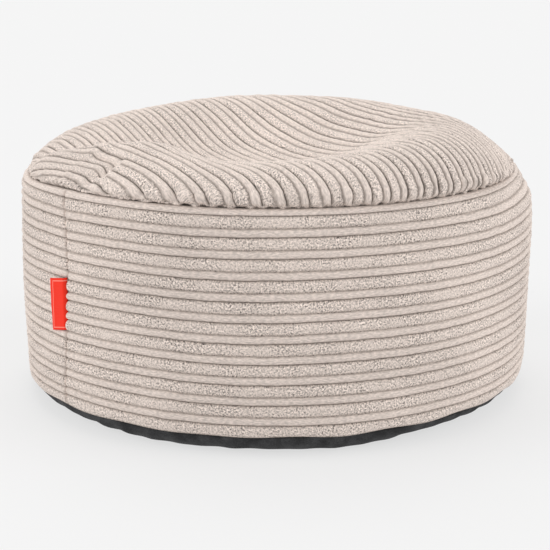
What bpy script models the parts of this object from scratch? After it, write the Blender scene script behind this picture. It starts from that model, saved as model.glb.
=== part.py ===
"""Round floor pouf in ribbed cord fabric: a filled drum with a crowned, hollowed top and a dark base."""
import math

import bmesh
import bpy
import numpy as np

# Sizes in metres, +Z up, origin at the middle of the flat base. The front is -Y.
DRUM_RADIUS = 0.300
SEAM_RADIUS = 0.2885
BASE_SEAM_RADIUS = 0.2895
FLOOR_RADIUS = 0.266
BASE_SEAM_HEIGHT = 0.0212
TOP_SEAM_HEIGHT = 0.2650
WALL_MIDDLE = 0.130
WALL_DRAW_IN = 0.011
PANEL_GAP = 0.0003
SEAM_GAP = 0.0007

# Cord ribs: wide and narrow ones take turns.
WIDE_RIB = 0.0132
NARROW_RIB = 0.0090
RIB_PAIR = WIDE_RIB + NARROW_RIB
RIB_HEIGHT = 0.0022
TOP_RIB_HEIGHT = 0.0018
FIRST_GROOVE = 0.2584
SIDE_RIBS_BELOW_FIRST = 20

# The bed between the side and the top panel: flat inside, sloping up to the seam.
BED_RADIUS = 0.262
BED_HEIGHT = 0.2450

SIDE_SEGMENTS = 48
JOIN_AZIMUTH = 49.3
JOIN_HALF_WIDTH = 0.6
JOIN_CLEARANCE = 2.0
JOIN_DEPTH = 0.003

# How the soft drum has settled: its ribs hang lower at the left, its top edge is drawn in at the right,
# and the dark base is tucked under on both sides. Azimuths run from the front towards the left.
LEFT_FROM = 47.0
LEFT_FULL = 82.0
LEFT_UNTIL = 105.0
LEFT_END = 160.0
LEFT_DROP = 0.0062
SEAM_DROP_LEFT = 0.0077
SEAM_DROP_RIGHT = 0.0020
SEAM_DRAW_LEFT = 0.0015
SEAM_DRAW_RIGHT = 0.0125
RIGHT_SHARPNESS = 3
ROLL_FROM = 0.226
ROLL_TO = 0.262
ROLL_DRAW = 0.0135
TUCK_RIGHT = 0.020
TUCK_RIGHT_FROM = 14.0
TUCK_RIGHT_FULL = 38.0
TUCK_LEFT = 0.009
TUCK_LEFT_FROM = 25.0
TUCK_LEFT_FULL = 50.0
TUCK_UNTIL = 110.0
TUCK_END = 170.0
BASE_STEPS = 5
BASE_FULLNESS = 1.4

# Top panel: its ribs run towards the front right, and the fabric is eased in at the rim.
RIB_TURN = 33.6
RIM_EASE = 0.10
RIB_OFFSET = 0.48
TOP_ROWS = 19
HOLLOW_CENTRE = (-0.045, -0.015)
HOLLOW_FLOOR = -0.0075
HOLLOW_POWER = 1.43
SHOULDER_POWER = 1.73

# Azimuth about the hollow's centre in degrees from +X, distance out to the crest,
# height of the crest over the seam, and how upright the shoulder outside it stands (less is more upright).
CREST_ROWS = (
    (0, 0.240, 0.0485, 1.15),
    (30, 0.211, 0.0480, 1.15),
    (60, 0.203, 0.0487, 1.08),
    (90, 0.206, 0.0466, 0.91),
    (120, 0.197, 0.0388, 0.74),
    (150, 0.182, 0.0304, 0.62),
    (180, 0.178, 0.0203, 0.72),
    (210, 0.169, 0.0272, 0.66),
    (240, 0.177, 0.0414, 0.63),
    (270, 0.209, 0.0351, 0.45),
    (300, 0.244, 0.0389, 0.42),
    (330, 0.240, 0.0461, 0.55),
)

# How close to the rim the top follows the settled seam, and the folds and ribs end: more is closer.
DRAW_CLOSENESS = 6
DROP_CLOSENESS = 10
FOLD_CLOSENESS = 24
RIB_CLOSENESS = 12

# Folds in the top, from one place to another as x, y, then half width and height.
# A height under nought is a valley.
FOLD_ROWS = (
    (-0.115, -0.035, -0.285, -0.028, 0.024, -0.0070),
    (-0.262, -0.068, -0.190, -0.140, 0.017, 0.0050),
    (-0.190, -0.140, -0.120, -0.172, 0.017, 0.0035),
)

# Label: a folded tab that is sewn into the join and lies against the side, its fold a little lower.
LABEL_LOW = 0.1117
LABEL_TALL = 0.058
LABEL_WIDE = 0.0278
LABEL_HANG = 0.0052
LABEL_THICK = 0.0012
LABEL_STEPS = 6

# Colour, roughness
CORD_LOOK = ((0.54, 0.46, 0.41), 0.95)
BASE_LOOK = ((0.035, 0.035, 0.036), 0.9)
LABEL_LOOK = ((0.80, 0.10, 0.07), 0.8)


def clear_scene():
    for thing in list(bpy.data.objects):
        bpy.data.objects.remove(thing, do_unlink=True)


def make_material(name, look):
    colour, roughness = look
    material = bpy.data.materials.new(name)
    material.use_nodes = True
    shader = material.node_tree.nodes["Principled BSDF"]
    shader.inputs["Base Color"].default_value = (*colour, 1.0)
    shader.inputs["Roughness"].default_value = roughness
    shader.inputs["Metallic"].default_value = 0.0
    material.diffuse_color = (*colour, 1.0)
    return material


def skin_loops(name, loops, material, smooth_angle=40.0):
    """Joins each closed loop of points to the next and closes the first and the last with a face."""
    mesh = bmesh.new()
    rings = [[mesh.verts.new(point) for point in loop] for loop in loops]
    for ring, following in zip(rings, rings[1:]):
        count = len(ring)
        for i in range(count):
            j = (i + 1) % count
            mesh.faces.new((ring[i], ring[j], following[j], following[i]))
    mesh.faces.new(rings[0][::-1])
    mesh.faces.new(rings[-1])
    bmesh.ops.recalc_face_normals(mesh, faces=mesh.faces)
    data = bpy.data.meshes.new(name)
    mesh.to_mesh(data)
    mesh.free()
    data.materials.append(material)
    data.shade_smooth()
    data.set_sharp_from_angle(angle=math.radians(smooth_angle))
    item = bpy.data.objects.new(name, data)
    bpy.context.scene.collection.objects.link(item)
    return item


def drum_point(radius, azimuth, height):
    """A point by its azimuth in degrees, from the front towards the left."""
    turn = math.radians(azimuth)
    return (-radius * math.sin(turn), -radius * math.cos(turn), height)


def ease_between(value, low, high):
    """Nought below low, one above high, and a smooth step between."""
    share = np.clip((value - low) / (high - low), 0.0, 1.0)
    return share * share * (3.0 - 2.0 * share)


def from_front(azimuth):
    """The same azimuth between -180 at the back, 0 at the front and 180 at the back again."""
    return (azimuth + 180.0) % 360.0 - 180.0


def left_share(azimuth):
    turned = from_front(azimuth)
    return ease_between(turned, LEFT_FROM, LEFT_FULL) * (1.0 - ease_between(turned, LEFT_UNTIL, LEFT_END))


def right_share(azimuth):
    return np.clip(-np.sin(np.radians(azimuth)), 0.0, 1.0) ** RIGHT_SHARPNESS


def seam_drop(azimuth):
    return SEAM_DROP_LEFT * left_share(azimuth) + SEAM_DROP_RIGHT * right_share(azimuth)


def seam_draw(azimuth):
    return SEAM_DRAW_LEFT * left_share(azimuth) + SEAM_DRAW_RIGHT * right_share(azimuth)


def foot_tuck(azimuth):
    """How far the edge of the flat underside is drawn in."""
    turned = from_front(azimuth)
    at_right = ease_between(-turned, TUCK_RIGHT_FROM, TUCK_RIGHT_FULL)
    at_left = ease_between(turned, TUCK_LEFT_FROM, TUCK_LEFT_FULL)
    behind = 1.0 - ease_between(abs(turned), TUCK_UNTIL, TUCK_END)
    return (TUCK_RIGHT * at_right + TUCK_LEFT * at_left) * behind


def wall_point(radius, azimuth, height):
    """A point of the side after the drum has settled."""
    up = np.clip((height - FIRST_GROOVE) / (TOP_SEAM_HEIGHT - FIRST_GROOVE), 0.0, 1.0)
    over_base = np.clip((height - BASE_SEAM_HEIGHT) / RIB_PAIR, 0.0, 1.0)
    draw = ROLL_DRAW * ease_between(height, ROLL_FROM, ROLL_TO) * right_share(azimuth)
    drop = LEFT_DROP * left_share(azimuth) * over_base
    radius = radius - draw * (1.0 - up) - seam_draw(azimuth) * up
    height = height - drop * (1.0 - up) - seam_drop(azimuth) * up
    return drum_point(float(radius), azimuth, float(height))


def crest_radius(height):
    return DRUM_RADIUS * (1.0 - WALL_DRAW_IN * ((height - WALL_MIDDLE) / WALL_MIDDLE) ** 2)


def rib_bulge(share):
    """Height of a rib over its grooves, from 0 to 1, at a share of its width."""
    return (1.0 - abs(2.0 * share - 1.0) ** 2.5) ** 0.4


def side_profile():
    """Radius and height from the base seam up to the top seam, with each rib raised."""
    grooves = [TOP_SEAM_HEIGHT, FIRST_GROOVE]
    for number in range(SIDE_RIBS_BELOW_FIRST):
        grooves.append(grooves[-1] - (WIDE_RIB if number % 2 == 0 else NARROW_RIB))
    grooves.append(BASE_SEAM_HEIGHT + PANEL_GAP)
    grooves.reverse()
    feet = [crest_radius(height) - RIB_HEIGHT for height in grooves]
    feet[0] = BASE_SEAM_RADIUS
    feet[-1] = SEAM_RADIUS
    profile = [(feet[0], grooves[0])]
    for low, high, inner, outer in zip(grooves, grooves[1:], feet, feet[1:]):
        for share in (0.22, 0.78):
            radius = inner + (outer - inner) * share + RIB_HEIGHT * rib_bulge(share) / rib_bulge(0.22)
            profile.append((radius, low + (high - low) * share))
        profile.append((outer, high))
    return profile


def side_azimuths():
    """Even steps round the drum, and three close together at the join."""
    step = 360.0 / SIDE_SEGMENTS
    even = [number * step for number in range(SIDE_SEGMENTS)]
    clear = [azimuth for azimuth in even if abs(azimuth - JOIN_AZIMUTH) > JOIN_CLEARANCE]
    return sorted(clear + [JOIN_AZIMUTH - JOIN_HALF_WIDTH, JOIN_AZIMUTH, JOIN_AZIMUTH + JOIN_HALF_WIDTH])


def build_side_panel(material):
    profile = side_profile()
    azimuths = side_azimuths()
    loops = []
    for number, (radius, height) in enumerate(profile):
        press = JOIN_DEPTH if 0 < number < len(profile) - 1 else 0.0
        loops.append([wall_point(radius - (press if azimuth == JOIN_AZIMUTH else 0.0), azimuth, height)
                      for azimuth in azimuths])
    loops.append([drum_point(BED_RADIUS - float(seam_draw(azimuth)), azimuth, BED_HEIGHT)
                  for azimuth in azimuths])
    return skin_loops("side_panel", loops, material)


def build_base_panel(material):
    """A dark disc with a flat underside and an edge that rolls up to the base seam."""
    azimuths = [number * 360.0 / SIDE_SEGMENTS for number in range(SIDE_SEGMENTS)]
    loops = []
    for number in range(BASE_STEPS + 1):
        turn = math.radians(90.0 * number / BASE_STEPS)
        height = BASE_SEAM_HEIGHT * (1.0 - math.cos(turn))
        share = math.sin(turn) ** BASE_FULLNESS
        loop = []
        for azimuth in azimuths:
            foot = FLOOR_RADIUS - float(foot_tuck(azimuth))
            loop.append(drum_point(foot + (BASE_SEAM_RADIUS - foot) * share, azimuth, height))
        loops.append(loop)
    return skin_loops("base_panel", loops, material)


def crest_column(column, azimuth):
    """One column of the crest rows at azimuths in degrees, as a smooth closed curve through the rows."""
    values = np.array([row[column] for row in CREST_ROWS])
    step = 360.0 / len(CREST_ROWS)
    place = np.floor(azimuth / step).astype(int)
    f = azimuth / step - place
    before, here, after, beyond = (values[(place + k) % len(values)] for k in (-1, 0, 1, 2))
    bend = 2 * before - 5 * here + 4 * after - beyond
    swing = 3 * here - before - 3 * after + beyond
    return 0.5 * (2 * here + (after - before) * f + bend * f ** 2 + swing * f ** 3)


def fold_height(x, y):
    """Each fold is a bell across its line, rounded off at both ends and gone at the seam."""
    total = np.zeros_like(x)
    for from_x, from_y, to_x, to_y, width, rise in FOLD_ROWS:
        run_x = to_x - from_x
        run_y = to_y - from_y
        share = np.clip(((x - from_x) * run_x + (y - from_y) * run_y) / (run_x ** 2 + run_y ** 2), 0.0, 1.0)
        gap = np.hypot(x - from_x - share * run_x, y - from_y - share * run_y)
        total = total + rise * np.exp(-(gap / width) ** 2)
    return total * (1.0 - np.clip(np.hypot(x, y) / SEAM_RADIUS, 0.0, 1.0) ** FOLD_CLOSENESS)


def top_height(x, y):
    """Height of the top over the seam: a hollow in the crest line, a shoulder outside, and the folds."""
    ahead = x - HOLLOW_CENTRE[0]
    aside = y - HOLLOW_CENTRE[1]
    distance = np.hypot(ahead, aside) + 1e-9
    azimuth = np.degrees(np.arctan2(aside, ahead)) % 360.0
    crest, rise, upright = (crest_column(column, azimuth) for column in (1, 2, 3))
    along = (HOLLOW_CENTRE[0] * ahead + HOLLOW_CENTRE[1] * aside) / distance
    offset = SEAM_RADIUS ** 2 - HOLLOW_CENTRE[0] ** 2 - HOLLOW_CENTRE[1] ** 2
    rim = np.sqrt(along ** 2 + offset) - along
    inside = np.clip(distance / crest, 0.0, 1.0)
    outside = np.clip((distance - crest) / (rim - crest), 0.0, 1.0)
    hollow = HOLLOW_FLOOR + (rise - HOLLOW_FLOOR) * np.sin(math.pi / 2 * inside ** HOLLOW_POWER) ** 2
    shoulder = rise * (1.0 - outside ** SHOULDER_POWER) ** upright
    return np.where(distance < crest, hollow, shoulder) + fold_height(x, y)


def top_columns():
    """Place of each line of points across the ribs in the fabric, and its height as a share of a rib's."""
    reach = SEAM_RADIUS * (1.0 + RIM_EASE)
    places = []
    bulges = []
    first = -int(reach / RIB_PAIR) - 2
    for pair in range(first, -first + 1):
        start = (pair - RIB_OFFSET) * RIB_PAIR
        for share, bulge in ((0.0, 0.0), (0.22, 1.0), (0.78, 1.0)):
            places.append(start + share * WIDE_RIB)
            bulges.append(bulge)
        for share, bulge in ((0.0, 0.0), (0.5, 1.0)):
            places.append(start + WIDE_RIB + share * NARROW_RIB)
            bulges.append(bulge)
    places = np.array(places)
    bulges = np.array(bulges)
    kept = np.abs(places) < reach * 0.9985
    return places[kept], bulges[kept]


def bed_point(x, y):
    """A point of the top panel's underside, over the side's bed and its slope up to the settled seam."""
    radius = math.hypot(x, y)
    azimuth = math.degrees(math.atan2(-x, -y))
    up = max((radius - BED_RADIUS) / (SEAM_RADIUS - BED_RADIUS), 0.0)
    inward = 1.0 - float(seam_draw(azimuth)) / radius
    rise = (TOP_SEAM_HEIGHT - BED_HEIGHT - float(seam_drop(azimuth))) * up
    return (x * inward, y * inward, BED_HEIGHT + SEAM_GAP + rise)


def build_top_panel(material):
    places, bulges = top_columns()
    shares = np.sin(np.linspace(-math.pi / 2, math.pi / 2, TOP_ROWS))
    across_end = places / (1.0 + RIM_EASE)
    along_end = np.sqrt(SEAM_RADIUS ** 2 - across_end ** 2)
    along = along_end[:, None] * shares[None, :]
    across = np.repeat(across_end[:, None], TOP_ROWS, axis=1)
    for _ in range(12):
        radius = np.hypot(across, along)
        across = places[:, None] / (1.0 + RIM_EASE * (radius / SEAM_RADIUS) ** 3)
    turn = math.radians(RIB_TURN)
    ahead = np.array([math.cos(turn), math.sin(turn)])
    down = np.array([math.sin(turn), -math.cos(turn)])
    x = across * ahead[0] + along * down[0]
    y = across * ahead[1] + along * down[1]
    probe = 0.001
    shrink = 1.0 - 1.5 * probe / SEAM_RADIUS
    near_x = x * shrink
    near_y = y * shrink
    slope_x = (top_height(near_x + probe, near_y) - top_height(near_x - probe, near_y)) / (2 * probe)
    slope_y = (top_height(near_x, near_y + probe) - top_height(near_x, near_y - probe)) / (2 * probe)
    steep = np.sqrt(1.0 + slope_x ** 2 + slope_y ** 2)
    raised = TOP_RIB_HEIGHT * bulges[:, None] * (1.0 - np.abs(shares[None, :]) ** RIB_CLOSENESS)
    z = TOP_SEAM_HEIGHT + SEAM_GAP + top_height(x, y) + raised / steep
    azimuth = np.degrees(np.arctan2(-x, -y))
    radius = np.hypot(x, y)
    rim_share = np.clip(radius / SEAM_RADIUS, 0.0, 1.0)
    inward = 1.0 - seam_draw(azimuth) * rim_share ** DRAW_CLOSENESS / radius
    z = z - seam_drop(azimuth) * rim_share ** DROP_CLOSENESS
    x = (x - raised * slope_x / steep) * inward
    y = (y - raised * slope_y / steep) * inward
    loops = []
    for number in range(len(places)):
        loop = [tuple(point) for point in np.stack([x[number], y[number], z[number]], axis=1)]
        bed = max(BED_RADIUS, abs(across_end[number]) + 0.0004)
        reach = math.sqrt(bed ** 2 - across_end[number] ** 2)
        for side in (1.0, -1.0):
            corner = across_end[number] * ahead + side * reach * down
            loop.append(bed_point(corner[0], corner[1]))
        loops.append(loop)
    return skin_loops("top_panel", loops, material, 60.0)


def build_label(material):
    """A thin curved tab, clear of the ribs' crests, from the join towards the left."""
    inner = DRUM_RADIUS + PANEL_GAP
    outer = inner + LABEL_THICK
    start = JOIN_AZIMUTH + JOIN_HALF_WIDTH
    sweep = math.degrees(LABEL_WIDE / inner)
    loops = []
    for number in range(LABEL_STEPS + 1):
        share = number / LABEL_STEPS
        azimuth = start + sweep * share
        low = LABEL_LOW - LABEL_HANG * share
        corners = ((inner, low), (outer, low), (outer, low + LABEL_TALL), (inner, low + LABEL_TALL))
        loops.append([drum_point(radius, azimuth, height) for radius, height in corners])
    return skin_loops("label", loops, material)


def main():
    clear_scene()
    build_side_panel(make_material("side_cord", CORD_LOOK))
    build_top_panel(make_material("top_cord", CORD_LOOK))
    build_base_panel(make_material("base_cloth", BASE_LOOK))
    build_label(make_material("label_tape", LABEL_LOOK))


main()
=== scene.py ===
import math

import bmesh
import bpy
import numpy as np
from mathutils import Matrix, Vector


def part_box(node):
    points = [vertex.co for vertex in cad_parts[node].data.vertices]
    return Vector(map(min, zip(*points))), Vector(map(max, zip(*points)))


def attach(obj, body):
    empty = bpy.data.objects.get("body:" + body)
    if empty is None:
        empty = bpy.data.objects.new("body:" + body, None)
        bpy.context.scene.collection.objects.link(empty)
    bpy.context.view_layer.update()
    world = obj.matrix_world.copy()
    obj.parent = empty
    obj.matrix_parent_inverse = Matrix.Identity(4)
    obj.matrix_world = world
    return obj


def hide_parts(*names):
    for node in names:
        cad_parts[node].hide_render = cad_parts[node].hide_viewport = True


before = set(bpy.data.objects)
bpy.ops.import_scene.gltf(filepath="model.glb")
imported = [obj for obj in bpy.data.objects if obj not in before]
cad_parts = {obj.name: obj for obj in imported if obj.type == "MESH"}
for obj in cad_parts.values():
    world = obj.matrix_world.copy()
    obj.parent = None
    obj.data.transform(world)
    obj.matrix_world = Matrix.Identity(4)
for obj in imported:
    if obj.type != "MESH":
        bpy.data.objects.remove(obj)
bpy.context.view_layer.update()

# Metres, +Z up, the front faces -Y. Azimuths are measured from the front towards the left.
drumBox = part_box("side_panel")
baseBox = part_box("base_panel")
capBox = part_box("top_panel")
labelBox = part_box("label")

cord = {
    "wideRib": 0.0132,
    "narrowRib": 0.0090,
    "wideSteps": 9,            # lines of points in each rib
    "narrowSteps": 7,
    "roundness": 2.1,          # more is squarer
}
ribPair = cord["wideRib"] + cord["narrowRib"]


# Curves and grids


def easeBetween(value, low, high):
    # nought below low, one above high, and a smooth step between
    share = np.clip((value - low) / (high - low), 0, 1)
    return share * share * (3 - 2 * share)


def bell(distance, width):
    # e to the power of less the square of the distance in widths, so one in the middle
    return np.exp(-(distance / width) ** 2)


def ribSteps(steps, root):
    # shares of a rib's width, closer together at its grooves, and the rib's height there
    # height = one less the distance from its middle, in half widths, to a power, then rooted
    power = cord["roundness"]
    shares = 0.5 - 0.5 * np.cos(np.pi * np.arange(steps) / steps)
    rise = (1 - np.abs(2 * shares - 1) ** power) ** (1 / power)
    rise[0] = root
    return shares, rise


def ripple(row, turns, across, *holds):
    # a sum of sines with whole wave numbers round the pouf, each drifting across it, less where it is held
    size, seed, slowest, fastest, length, mostDrift, count = row
    rng = np.random.default_rng(seed)
    waves = rng.integers(slowest, fastest + 1, count)
    drift = rng.uniform(-mostDrift, mostDrift, count)
    phases = rng.uniform(0, 2 * np.pi, count)
    angle = 2 * np.pi * turns[..., None] * waves + phases
    angle = angle + 2 * np.pi * (across / length)[..., None] * drift
    for hold in holds:
        size = size * hold
    return size * (np.sin(angle).sum(-1) / math.sqrt(count / 2))


def placed(radius, azimuth, height):
    # x = less the radius by the sine of the azimuth in radians, and y = less the radius by its cosine
    x = -radius * np.sin(azimuth)
    y = -radius * np.cos(azimuth)
    return np.stack(np.broadcast_arrays(x, y, height), axis=-1)


def surfaceNormals(points):
    # the cross product of the grid's two tangents
    alongRows = np.gradient(points, axis=0)
    alongColumns = np.gradient(points, axis=1)
    normals = np.cross(alongRows, alongColumns)
    return normals / np.maximum(np.linalg.norm(normals, axis=2, keepdims=True), 1e-12)


def gridFaces(rows, columns, closed):
    # corners of each cell of a grid, with the last column joined to the first where it is closed
    start = np.arange(rows - 1)[:, None]
    step = np.arange(columns if closed else columns - 1)[None, :]
    after = (step + 1) % columns
    corners = [start * columns + step, start * columns + after,
               (start + 1) * columns + after, (start + 1) * columns + step]
    return np.stack(corners, axis=-1).reshape(-1, 4)


def buildMesh(name, points, quads, caps, coords, values):
    # one mesh from points, four-cornered cells and closing faces, with fabric coordinates and named values
    corners = np.concatenate([quads.ravel()] + [np.asarray(cap) for cap in caps]).astype(np.int32)
    totals = np.array([4] * len(quads) + [len(cap) for cap in caps], dtype=np.int32)
    starts = np.concatenate([[0], np.cumsum(totals)[:-1]]).astype(np.int32)
    mesh = bpy.data.meshes.new(name)
    mesh.vertices.add(len(points))
    mesh.vertices.foreach_set("co", np.asarray(points, dtype=np.float32).ravel())
    mesh.loops.add(len(corners))
    mesh.loops.foreach_set("vertex_index", corners)
    mesh.polygons.add(len(totals))
    mesh.polygons.foreach_set("loop_start", starts)
    mesh.polygons.foreach_set("loop_total", totals)
    mesh.update(calc_edges=True)
    uvLayer = mesh.uv_layers.new(name="fabric")
    uvLayer.data.foreach_set("uv", np.asarray(coords, dtype=np.float32)[corners].ravel())
    for title, value in values.items():
        layer = mesh.attributes.new(title, "FLOAT", "POINT")
        layer.data.foreach_set("value", np.asarray(value, dtype=np.float32).ravel())
    shaped = bmesh.new()
    shaped.from_mesh(mesh)
    bmesh.ops.recalc_face_normals(shaped, faces=shaped.faces)
    shaped.to_mesh(mesh)
    shaped.free()
    mesh.shade_smooth()
    mesh.validate()
    piece = bpy.data.objects.new(name, mesh)
    bpy.context.scene.collection.objects.link(piece)
    return piece


# How the filled drum leans away from a true one. A span has four azimuths in degrees: a change starts at
# the first, is full from the second to the third, and is gone at the fourth.

settled = {
    "leftSpan": (47, 82, 105, 160),
    "leftDrop": 0.0062,        # the ribs sag at the far left
    "seamDropLeft": 0.0015,    # and the top seam sags this much further
    "seamDropRight": 0.002,
    "seamOutLeft": -0.0015,    # how far out the top seam moves, where less than nought is in
    "seamOutRight": -0.0125,
    "rightPower": 3,           # more makes the far right narrower
    "roll": 0.0135,            # the wall rolls in at the right between two heights
    "rollFrom": 0.226,
    "rollTo": 0.262,
    "swell": 0.0032,           # and swells under the roll
    "swellHeight": 0.205,
    "swellReach": 0.045,
    "flankSpan": (52, 78, 110, 160),
    "leftFlank": 0.6,          # the left flank's share of what the right flank does
    "hemDrop": 0.0046,         # the side hangs over the base at both flanks
    "hemFlare": 0.0016,
    "rightTuck": 0.0232,       # how far the dark base is drawn in under the side
    "rightTuckSpan": (14, 38, 110, 170),
    "leftTuck": 0.009,
    "leftTuckSpan": (25, 50, 110, 170),
}


def fromFront(azimuth):
    # the azimuth in degrees between -180 and 180, less than nought at the right
    return (azimuth + 180) % 360 - 180


def overSpan(azimuth, span):
    # a smooth step up between a span's first two azimuths, by one less the step between its last two
    start, full, until, end = span
    return easeBetween(azimuth, start, full) * (1 - easeBetween(azimuth, until, end))


def leftShare(azimuth):
    # one at the far left, fading to the front and to the back
    return overSpan(fromFront(azimuth), settled["leftSpan"])


def rightShare(azimuth):
    # one at the far right: the sine towards the right, to a power
    return np.clip(-np.sin(np.radians(azimuth)), 0, 1) ** settled["rightPower"]


def flankShare(azimuth):
    # one at the far right, rather less at the far left, nought at the front and at the back
    turned = fromFront(azimuth)
    return overSpan(np.abs(turned), settled["flankSpan"]) * np.where(turned < 0, 1.0, settled["leftFlank"])


def footTuck(azimuth):
    # how much the floor ring is drawn in: each flank's tuck over its own span
    turned = fromFront(azimuth)
    atRight = overSpan(-turned, settled["rightTuckSpan"])
    atLeft = overSpan(turned, settled["leftTuckSpan"])
    return settled["rightTuck"] * atRight + settled["leftTuck"] * atLeft


def seamShift(azimuth):
    # how far out the top seam is moved, as the left's and the right's shares of their own shifts
    return settled["seamOutLeft"] * leftShare(azimuth) + settled["seamOutRight"] * rightShare(azimuth)


def seamSag(azimuth):
    # how far the top seam hangs down, as the left's and the right's shares of their own drops
    leftDrop = settled["leftDrop"] + settled["seamDropLeft"]
    return leftDrop * leftShare(azimuth) + settled["seamDropRight"] * rightShare(azimuth)


# Materials


def newMaterial(name):
    # an empty material with its node tree and its shader
    material = bpy.data.materials.new(name)
    material.use_nodes = True
    return material, material.node_tree, material.node_tree.nodes["Principled BSDF"]


def feed(tree, socket, value):
    # sets a socket to a number or a colour, or links another node's output to it
    if isinstance(value, (int, float, tuple)):
        socket.default_value = value
    else:
        tree.links.new(value, socket)


def setInputs(node, values):
    # sets sockets by their names
    for title, value in values.items():
        node.inputs[title].default_value = value


def mathNode(tree, operation, *values):
    # one sum on up to three numbers or outputs
    node = tree.nodes.new("ShaderNodeMath")
    node.operation = operation
    for socket, value in zip(node.inputs, values):
        feed(tree, socket, value)
    return node.outputs[0]


def mixValue(tree, amount, first, second):
    # the first number at an amount of nought and the second at one
    node = tree.nodes.new("ShaderNodeMix")
    for place, value in ((0, amount), (2, first), (3, second)):
        feed(tree, node.inputs[place], value)
    return node.outputs[0]


def mixColour(tree, blend, amount, first, second):
    # the first colour at an amount of nought and the blend of both at one
    node = tree.nodes.new("ShaderNodeMix")
    node.data_type = "RGBA"
    node.blend_type = blend
    node.clamp_factor = True
    for place, value in ((0, amount), (6, first), (7, second)):
        feed(tree, node.inputs[place], value)
    return node.outputs[2]


def remap(tree, value, low, high, newLow, newHigh):
    # moves a value from one range into another, and holds it there
    node = tree.nodes.new("ShaderNodeMapRange")
    tree.links.new(value, node.inputs["Value"])
    setInputs(node, {"From Min": low, "From Max": high, "To Min": newLow, "To Max": newHigh})
    return node.outputs["Result"]


def fabricVector(tree, stretch):
    # places on the cloth in metres, along it by the stretch and across it
    source = tree.nodes.new("ShaderNodeUVMap")
    source.uv_map = "fabric"
    mapping = tree.nodes.new("ShaderNodeMapping")
    setInputs(mapping, {"Scale": (stretch, 1.0, 1.0)})
    tree.links.new(source.outputs["UV"], mapping.inputs["Vector"])
    return mapping.outputs["Vector"]


def attribute(tree, title):
    # one of the values that the mesh carries
    node = tree.nodes.new("ShaderNodeAttribute")
    node.attribute_name = title
    return node.outputs["Fac"]


def noise(tree, vector, scale, detail, roughness):
    # soft noise from nought to one
    node = tree.nodes.new("ShaderNodeTexNoise")
    setInputs(node, {"Scale": scale, "Detail": detail, "Roughness": roughness})
    tree.links.new(vector, node.inputs["Vector"])
    return node.outputs["Fac"]


def addRelief(tree, shader, height, strength, depth):
    # turns the shader's normal by a height, in shares of a depth in metres
    bump = tree.nodes.new("ShaderNodeBump")
    setInputs(bump, {"Strength": strength, "Distance": depth})
    tree.links.new(height, bump.inputs["Height"])
    tree.links.new(bump.outputs["Normal"], shader.inputs["Normal"])


cordCloth = {
    "colour": (0.700, 0.606, 0.548, 1),
    "sideGrooveShade": (0.29, 0.240, 0.207, 1),  # painted shade down in the grooves
    # painted shade down in the top's grooves, darker than the side's
    "topGrooveShade": (0.155, 0.126, 0.107, 1),
    "grooveShadeFrom": 0.10,        # the painted groove shade fades between these shares of a rib's height
    "grooveShadeTo": 0.85,
    "wideTone": 1.11,          # each kind of rib's tone, and what the patterns add to it
    "narrowTone": 0.965,
    "tuftTone": 0.48,
    "pitTone": -0.64,
    "napTone": 0.17,
    "shadeTone": 0.05,
    "napStretch": 0.3,         # the nap lies along the ribs
    "tuftLift": 0.4,           # heights beside a pit's depth of one
    "napLift": 0.16,
    "reliefStrength": 0.9,
    "reliefDepth": 0.0009,
    "finish": {"Roughness": 0.95, "Sheen Weight": 0.20, "Sheen Roughness": 0.5,
               "Sheen Tint": (0.9, 0.85, 0.8, 1), "Specular IOR Level": 0.1},
}

# Patterns in the pile: noise scale for a metre, detail and roughness, the noise's range and what it becomes
pilePatterns = {
    "tufts": (470.0, 2.0, 0.6, 0.36, 0.64, -1.0, 1.0),
    "pits": (610.0, 1.0, 0.55, 0.55, 0.66, 0.0, 1.0),
    "nap": (700.0, 2.0, 0.55, 0.36, 0.64, -1.0, 1.0),
    "patches": (24.0, 3.0, 0.6, 0.38, 0.62, 0.45, 1.0),
    "shade": (9.0, 2.0, 0.55, 0.35, 0.65, -1.0, 1.0),
}


def pilePattern(tree, vector, kind):
    # one row of the patterns: noise with its range moved into another
    scale, detail, roughness, low, high, newLow, newHigh = pilePatterns[kind]
    return remap(tree, noise(tree, vector, scale, detail, roughness), low, high, newLow, newHigh)


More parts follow.
